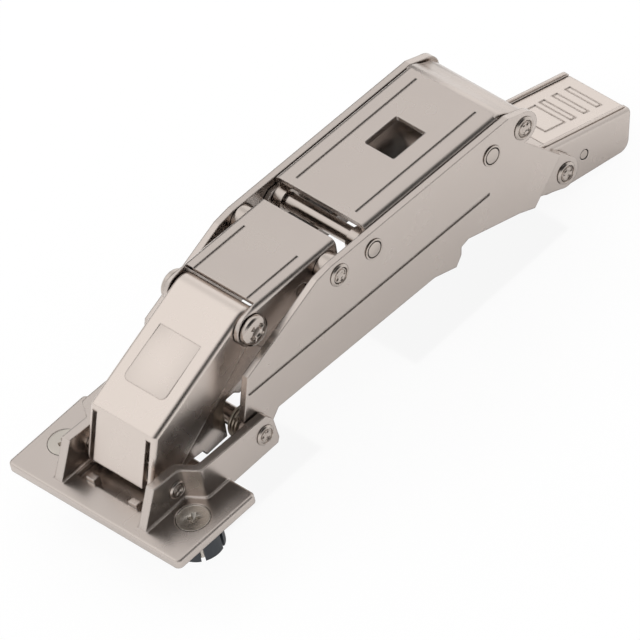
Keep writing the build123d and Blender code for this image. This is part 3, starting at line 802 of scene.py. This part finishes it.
# Side, place across the plate and turn of the cross
SCREWS = (("right", 1, 40), ("left", -1, 62))
# The cross recess: a wing's length, width and depth, its taper to the bottom and its flare to the ends
RECESS_SPAN = 5.0 * MM
RECESS_WIDTH = 1.15 * MM
RECESS_DEPTH = 1.3 * MM
RECESS_TAPER = (0.42, 0.55, 1.0)
RECESS_FLARE = (1.0, 1.35, 1.0)


class HINGE_OT_plate_screws(bpy.types.Operator):
    """Turn the two countersunk screws and punch their cross recesses"""
    bl_idname = "hinge.plate_screws"
    bl_label = "Turn the plate screws"

    def execute(self, context):
        select_none()
        bpy.ops.mesh.primitive_cylinder_add(
            vertices=SCREW_SIDES, radius=SCREW_HEAD, depth=SCREW_RIM, location=(0, 0, -SCREW_RIM / 2),
        )
        screw = context.object
        bpy.ops.object.transform_apply(location=True, rotation=True, scale=True)
        bpy.ops.object.mode_set(mode="EDIT")
        select_faces(screw, faces_down)
        for radius_from, radius_to, drop in SCREW_STEPS:
            bpy.ops.mesh.extrude_region_move(TRANSFORM_OT_translate={"value": (0, 0, -drop * MM)})
            share = radius_to / radius_from
            bpy.ops.transform.resize(value=(share, share, 1.0), center_override=(0, 0, 0))
        select_faces(screw, faces_up)
        steps_inward(SCREW_DISH)
        bpy.ops.object.mode_set(mode="OBJECT")
        for turn in (0, 90):
            self.punch_wing(screw, turn)
        ease_edges(screw, SCREW_EDGE)
        for side, across, turn in SCREWS:
            piece = bpy.data.objects.new(f"plate_screw_{side}", screw.data.copy())
            context.scene.collection.objects.link(piece)
            piece.location = (across * SCREW_SPACING / 2, 0, SCREW_TOP)
            piece.rotation_euler = (0, 0, math.radians(turn))
            select_none()
            piece.select_set(True)
            context.view_layer.objects.active = piece
            finish_piece(piece, piece.name, "screw_steel", "plate")
            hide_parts("plate_screws")
        bpy.data.objects.remove(screw)
        return {"FINISHED"}

    def punch_wing(self, screw, turn):
        """Cuts one wing of the cross recess, narrower at its bottom and wider at its ends."""
        select_none()
        bpy.ops.mesh.primitive_cube_add(size=1.0, location=(0, 0, 0))
        wing = bpy.context.object
        wing.scale = (RECESS_SPAN, RECESS_WIDTH, 2 * RECESS_DEPTH)
        bpy.ops.object.transform_apply(location=True, rotation=True, scale=True)
        bpy.ops.object.mode_set(mode="EDIT")
        select_faces(wing, faces_down)
        bpy.ops.transform.resize(value=RECESS_TAPER, center_override=(0, 0, 0))
        select_faces(wing, lambda middle, normal: abs(normal.x) > TAPERED)
        bpy.ops.transform.resize(value=RECESS_FLARE, center_override=(0, 0, 0))
        bpy.ops.object.mode_set(mode="OBJECT")
        wing.rotation_euler = (0, 0, math.radians(turn))
        select_none()
        screw.select_set(True)
        bpy.context.view_layer.objects.active = screw
        punch = screw.modifiers.new("recess", "BOOLEAN")
        punch.object = wing
        punch.solver = "EXACT"
        bpy.ops.object.modifier_apply(modifier=punch.name)
        bpy.data.objects.remove(wing)


# The closing spring lies between the front link and the side plate
SPRING_START = 12.05 * MM
SPRING_MEAN_RADIUS = 4.0 * MM
SPRING_TURNS = 3.2
SPRING_LEG = 5.0 * MM
WIRE_SIDES = 12
STEPS_A_TURN = 28


class HINGE_OT_closing_spring(bpy.types.Operator):
    """Wind the closing spring from wire, with a leg at each end"""
    bl_idname = "hinge.closing_spring"
    bl_label = "Wind the closing spring"

    def execute(self, context):
        size = context.scene.hinge_detail
        axle = middle_of("rear_axle")
        select_none()
        bpy.ops.mesh.primitive_circle_add(
            vertices=WIRE_SIDES, radius=size.wire_radius, fill_type="NOTHING",
            location=(SPRING_START, SPRING_MEAN_RADIUS, 0),
        )
        spring = context.object
        bpy.ops.object.transform_apply(location=True, rotation=True, scale=True)
        turns = spring.modifiers.new("turns", "SCREW")
        turns.axis = "X"
        turns.angle = math.tau * SPRING_TURNS
        turns.screw_offset = size.spring_pitch * SPRING_TURNS
        turns.steps = STEPS_A_TURN * math.ceil(SPRING_TURNS)
        turns.render_steps = turns.steps
        bpy.ops.object.modifier_apply(modifier=turns.name)
        bpy.ops.object.mode_set(mode="EDIT")
        bpy.ops.mesh.select_mode(type="EDGE")
        for at_start in (True, False):
            bpy.ops.mesh.select_all(action="DESELECT")
            mesh = bmesh.from_edit_mesh(spring.data)
            edges = [edge for edge in mesh.edges if edge.is_boundary]
            ends = sorted(edges, key=lambda edge: sum(v.co.x for v in edge.verts))
            chosen = ends[:WIRE_SIDES] if at_start else ends[-WIRE_SIDES:]
            middle = sum((v.co for edge in chosen for v in edge.verts), Vector()) / (2 * WIRE_SIDES)
            for edge in chosen:
                edge.select_set(True)
            bmesh.update_edit_mesh(spring.data)
            tangent = Vector((0, -middle.z, middle.y)).normalized() * (-1 if at_start else 1)
            bpy.ops.mesh.extrude_region_move(TRANSFORM_OT_translate={"value": tangent * SPRING_LEG})
            bpy.ops.mesh.edge_face_add()
        bpy.ops.mesh.select_all(action="SELECT")
        bpy.ops.mesh.normals_make_consistent(inside=False)
        bpy.ops.object.mode_set(mode="OBJECT")
        spring.location = (0, axle.y, axle.z)
        finish_piece(spring, "closing_spring_wound", "spring_steel", "plate")
        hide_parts("closing_spring")
        return {"FINISHED"}


# The apron's section behind the cover's rear edge
APRON_PROFILE = (
    (124.0, 32.0), (125.4, 31.8), (126.8, 31.0), (128.2, 29.8), (129.8, 28.9), (131.4, 28.2), (132.5, 27.0),
    (132.9, 25.4),
)
APRON_HALF = 15.4 * MM
APRON_EDGE = 0.2 * MM
# Its folds turn less than this and stay as they are
APRON_EDGE_ANGLE = 50


class HINGE_OT_cover_apron(bpy.types.Operator):
    """Fold the apron at the cover's rear edge down over the tail pin"""
    bl_idname = "hinge.cover_apron"
    bl_label = "Fold the cover's apron"

    def execute(self, context):
        profile = [Vector((0, y, z)) * MM for y, z in APRON_PROFILE]
        first = profile[1] - profile[0]
        select_none()
        bpy.ops.mesh.primitive_plane_add(size=1.0, location=(profile[0] + profile[1]) / 2)
        apron = context.object
        apron.scale = (2 * APRON_HALF, first.length, 1.0)
        apron.rotation_euler = (math.atan2(first.z, first.y), 0, 0)
        bpy.ops.object.transform_apply(location=True, rotation=True, scale=True)
        bpy.ops.object.mode_set(mode="EDIT")
        bpy.ops.mesh.select_mode(type="EDGE")
        bpy.ops.mesh.select_all(action="DESELECT")
        mesh = bmesh.from_edit_mesh(apron.data)
        rear = max(mesh.edges, key=lambda edge: sum(v.co.y for v in edge.verts))
        rear.select_set(True)
        bmesh.update_edit_mesh(apron.data)
        for before, after in zip(profile[1:], profile[2:]):
            bpy.ops.mesh.extrude_region_move(TRANSFORM_OT_translate={"value": after - before})
        bpy.ops.mesh.select_all(action="SELECT")
        bpy.ops.mesh.normals_make_consistent(inside=False)
        bpy.ops.object.mode_set(mode="OBJECT")
        wall = apron.modifiers.new("sheet", "SOLIDIFY")
        wall.thickness = context.scene.hinge_detail.apron_sheet
        wall.offset = 0.0
        bpy.ops.object.modifier_apply(modifier=wall.name)
        ease_edges(apron, APRON_EDGE, angle=APRON_EDGE_ANGLE)
        finish_piece(apron, "cover_apron", "pressed_steel", "main_lever")
        return {"FINISHED"}


# Pieces that take the plating painted lighter, a painted highlight
PAINTED_HIGHLIGHT_NODES = ("front_link", "release_lever")


class HINGE_OT_finishes(bpy.types.Operator):
    """Give every CAD piece its plated, drawn or moulded finish"""
    bl_idname = "hinge.finishes"
    bl_label = "Finish the hinge's pieces"

    def execute(self, context):
        finish = context.scene.hinge_finish
        make_finishes(finish)
        bright = PAINTED_HIGHLIGHT_NODES if finish.painted_highlight_parts else ()
        for part in frame["record"]["subparts"]:
            name = part["node"]
            dress(name, "painted_highlight_steel" if name in bright else part["material_slot"])
        return {"FINISHED"}


# The photograph's view, in the hinge's own frame
CAMERA_BACK = (0.5774, -0.4083, 0.7071)
CAMERA_UP = (-0.4082, 0.6056, 0.6830)
CAMERA_TARGET = (0.0, 68.08 * MM, -0.355 * MM)
STUDIO_WHITE = "#FFFFFF"
WORLD_STRENGTH = 0.92
# What the floor takes of the hinge's shadow
SHADOW_SHARE = 0.08
# Painted shade: black cards under the front link and the cover, hidden from the camera, stand in for the hinge's
# own shadow in its reflections: name, start and end along Y
SHADE_CARD_BLACK = "#1E1A17"
FLAG_WIDTH = 37 * MM
FLAG_DROP = 0.5 * MM
PAINTED_SHADE_CARDS = (
    ("painted_shade_card_front", 4 * MM, 46 * MM),
    ("painted_shade_card_middle", 80 * MM, 136 * MM),
)
# Where the studio is darker or brighter: direction, inner and outer angle, level
SURROUND_ZONES = (
    ((0.75, 0.15, 0.65), 22.0, 46.0, 0.04),
    ((0.45, -0.50, 0.74), 12.0, 30.0, 0.30),
    ((-0.92, 0.38, 0.02), 14.0, 32.0, 0.08),
    ((-0.577, -0.151, 0.803), 10.0, 28.0, 1.28),
    ((-0.577, 0.753, 0.317), 10.0, 26.0, 1.28),
)
# Name, direction, distance, size and power of each lamp
SOFT_BOXES = (
    ("key_softbox", (-0.577, -0.151, 0.803), 1.2, 0.55, 1.6),
    ("rim_softbox", (-0.577, 0.753, 0.317), 1.2, 0.5, 1.2),
)


class HINGE_OT_stage(bpy.types.Operator):
    """Build the floor, the soft lights, the world and the camera"""
    bl_idname = "hinge.stage"
    bl_label = "Build the studio"

    def execute(self, context):
        stage = context.scene.hinge_stage
        low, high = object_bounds()
        centre = (low + high) / 2
        select_none()
        bpy.ops.mesh.primitive_plane_add(
            size=stage.floor_size, location=(centre.x, centre.y, low.z - stage.floor_gap)
        )
        floor = context.object
        floor.name = "studio_floor"
        floor.data.materials.append(studio_surface("matt_white_floor", STUDIO_WHITE, SHADOW_SHARE))
        floor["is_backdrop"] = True
        self.build_shade_cards(low)
        self.build_world(context.scene)
        self.build_lights(centre)
        self.build_camera(context.scene, stage)
        context.scene.view_settings.view_transform = "Standard"
        return {"FINISHED"}

    def build_shade_cards(self, low):
        """Painted shade: black cards under the hinge stand in for its own shadow and keep its inside dark. The
        camera and the lamps don't see them.
        """
        material, tree, output = new_material("painted_shade_card")
        card = add_node(tree, "ShaderNodeBsdfDiffuse", inputs={"Color": linear_colour(SHADE_CARD_BLACK)})
        tree.links.new(card.outputs["BSDF"], output.inputs["Surface"])
        for name, start, end in PAINTED_SHADE_CARDS:
            select_none()
            middle = (0, (start + end) / 2, low.z - FLAG_DROP)
            bpy.ops.mesh.primitive_plane_add(size=1.0, location=middle)
            flag = bpy.context.object
            flag.name = name
            flag.scale = (FLAG_WIDTH, end - start, 1.0)
            flag.data.materials.append(material)
            flag.visible_camera = False
            flag.visible_shadow = False
            flag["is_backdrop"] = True

    def build_world(self, scene):
        """A pale surround. The camera sees plain white, and the metal sees panels and flags in it."""
        world = bpy.data.worlds.new("soft_surround")
        scene.world = world
        world.use_nodes = True
        tree = world.node_tree
        tree.nodes.clear()
        output = add_node(tree, "ShaderNodeOutputWorld")
        place = add_node(tree, "ShaderNodeTexCoord")
        plain = add_node(tree, "ShaderNodeValue")
        plain.outputs["Value"].default_value = 1.0
        level = plain.outputs["Value"]
        for towards, inner, outer, strength in SURROUND_ZONES:
            nearness = add_node(
                tree, "ShaderNodeVectorMath", settings={"operation": "DOT_PRODUCT"},
                inputs={1: Vector(towards).normalized()},
                links={0: place.outputs["Generated"]},
            )
            zone = add_node(
                tree, "ShaderNodeMapRange", settings={"interpolation_type": "SMOOTHSTEP"},
                inputs={
                    "From Min": math.cos(math.radians(outer)), "From Max": math.cos(math.radians(inner)),
                    "To Min": 1.0, "To Max": strength,
                },
                links={"Value": nearness.outputs["Value"]},
            )
            level = add_node(
                tree, "ShaderNodeMath", settings={"operation": "MULTIPLY"},
                links={0: level, 1: zone.outputs["Result"]},
            ).outputs["Value"]
        ray = add_node(tree, "ShaderNodeLightPath")
        gloss = add_node(
            tree, "ShaderNodeMapRange",
            inputs={"To Min": 1.0},
            links={"Value": ray.outputs["Is Glossy Ray"], "To Max": level},
        )
        strength = add_node(
            tree, "ShaderNodeMapRange",
            inputs={"To Min": WORLD_STRENGTH, "To Max": 1.0},
            links={"Value": ray.outputs["Is Camera Ray"]},
        )
        total = add_node(
            tree, "ShaderNodeMath", settings={"operation": "MULTIPLY"},
            links={0: gloss.outputs["Result"], 1: strength.outputs["Result"]},
        )
        sky = add_node(
            tree, "ShaderNodeBackground",
            inputs={"Color": linear_colour(STUDIO_WHITE)},
            links={"Strength": total.outputs["Value"]},
        )
        tree.links.new(sky.outputs["Background"], output.inputs["Surface"])

    def build_lights(self, centre):
        """Two wide soft boxes: one overhead on the left, one low behind the arm."""
        for name, towards, distance, size, power in SOFT_BOXES:
            direction = Vector(towards).normalized()
            select_none()
            bpy.ops.object.light_add(type="AREA", location=centre + direction * distance)
            lamp = bpy.context.object
            lamp.name = name
            lamp.data.shape = "DISK"
            lamp.data.size = size
            lamp.data.energy = power
            lamp.visible_glossy = False
            lamp.rotation_mode = "QUATERNION"
            lamp.rotation_quaternion = direction.to_track_quat("Z", "Y")

    def build_camera(self, scene, stage):
        """The photograph's view: from the front right and above, with nearly parallel lines."""
        back = Vector(CAMERA_BACK).normalized()
        right = Vector(CAMERA_UP).cross(back).normalized()
        up = back.cross(right)
        data = bpy.data.cameras.new("product_camera")
        camera = bpy.data.objects.new("product_camera", data)
        scene.collection.objects.link(camera)
        data.lens = stage.lens
        distance = stage.frame_width / 2 / (data.sensor_width / 2 / data.lens)
        turn = Matrix((right, up, back)).transposed().to_4x4()
        camera.matrix_world = Matrix.Translation(Vector(CAMERA_TARGET) + back * distance) @ turn
        data.clip_start = distance / 100
        data.clip_end = distance * 10
        scene.camera = camera


class HINGE_PT_panel(bpy.types.Panel):
    """The hinge's steps, in the order in which they run"""
    bl_label = "Hinge"
    bl_idname = "HINGE_PT_panel"
    bl_space_type = "VIEW_3D"
    bl_region_type = "UI"
    bl_category = "Hinge"

    def draw(self, context):
        for operator in OPERATORS:
            self.layout.operator(operator.bl_idname)
        scene = context.scene
        for settings in (scene.hinge_finish, scene.hinge_detail, scene.hinge_stage):
            for field in type(settings).__annotations__:
                self.layout.prop(settings, field)


# In the order in which main calls them
OPERATORS = (
    HINGE_OT_finishes, HINGE_OT_pin_ends, HINGE_OT_link_rivet, HINGE_OT_cheeks, HINGE_OT_closing_spring,
    HINGE_OT_cover_apron, HINGE_OT_middle_skirts, HINGE_OT_rod_ends, HINGE_OT_field, HINGE_OT_arm_lips,
    HINGE_OT_plate_screws, HINGE_OT_stage,
)
SETTINGS = (HingeFinishSettings, HingeDetailSettings, HingeStageSettings)
CLASSES = SETTINGS + OPERATORS + (HINGE_PT_panel,)


def register():
    for item in CLASSES:
        bpy.utils.register_class(item)
    bpy.types.Scene.hinge_finish = bpy.props.PointerProperty(type=HingeFinishSettings)
    bpy.types.Scene.hinge_detail = bpy.props.PointerProperty(type=HingeDetailSettings)
    bpy.types.Scene.hinge_stage = bpy.props.PointerProperty(type=HingeStageSettings)


def unregister():
    del bpy.types.Scene.hinge_stage
    del bpy.types.Scene.hinge_detail
    del bpy.types.Scene.hinge_finish
    for item in reversed(CLASSES):
        bpy.utils.unregister_class(item)


def main():
    """Registers the add-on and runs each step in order."""
    register()
    bpy.ops.hinge.finishes()
    bpy.ops.hinge.pin_ends()
    bpy.ops.hinge.link_rivet()
    bpy.ops.hinge.cheeks()
    bpy.ops.hinge.closing_spring()
    bpy.ops.hinge.cover_apron()
    bpy.ops.hinge.middle_skirts()
    bpy.ops.hinge.rod_ends()
    bpy.ops.hinge.field()
    bpy.ops.hinge.arm_lips()
    bpy.ops.hinge.plate_screws()
    bpy.ops.hinge.stage()


if __name__ == "__main__":
    main()
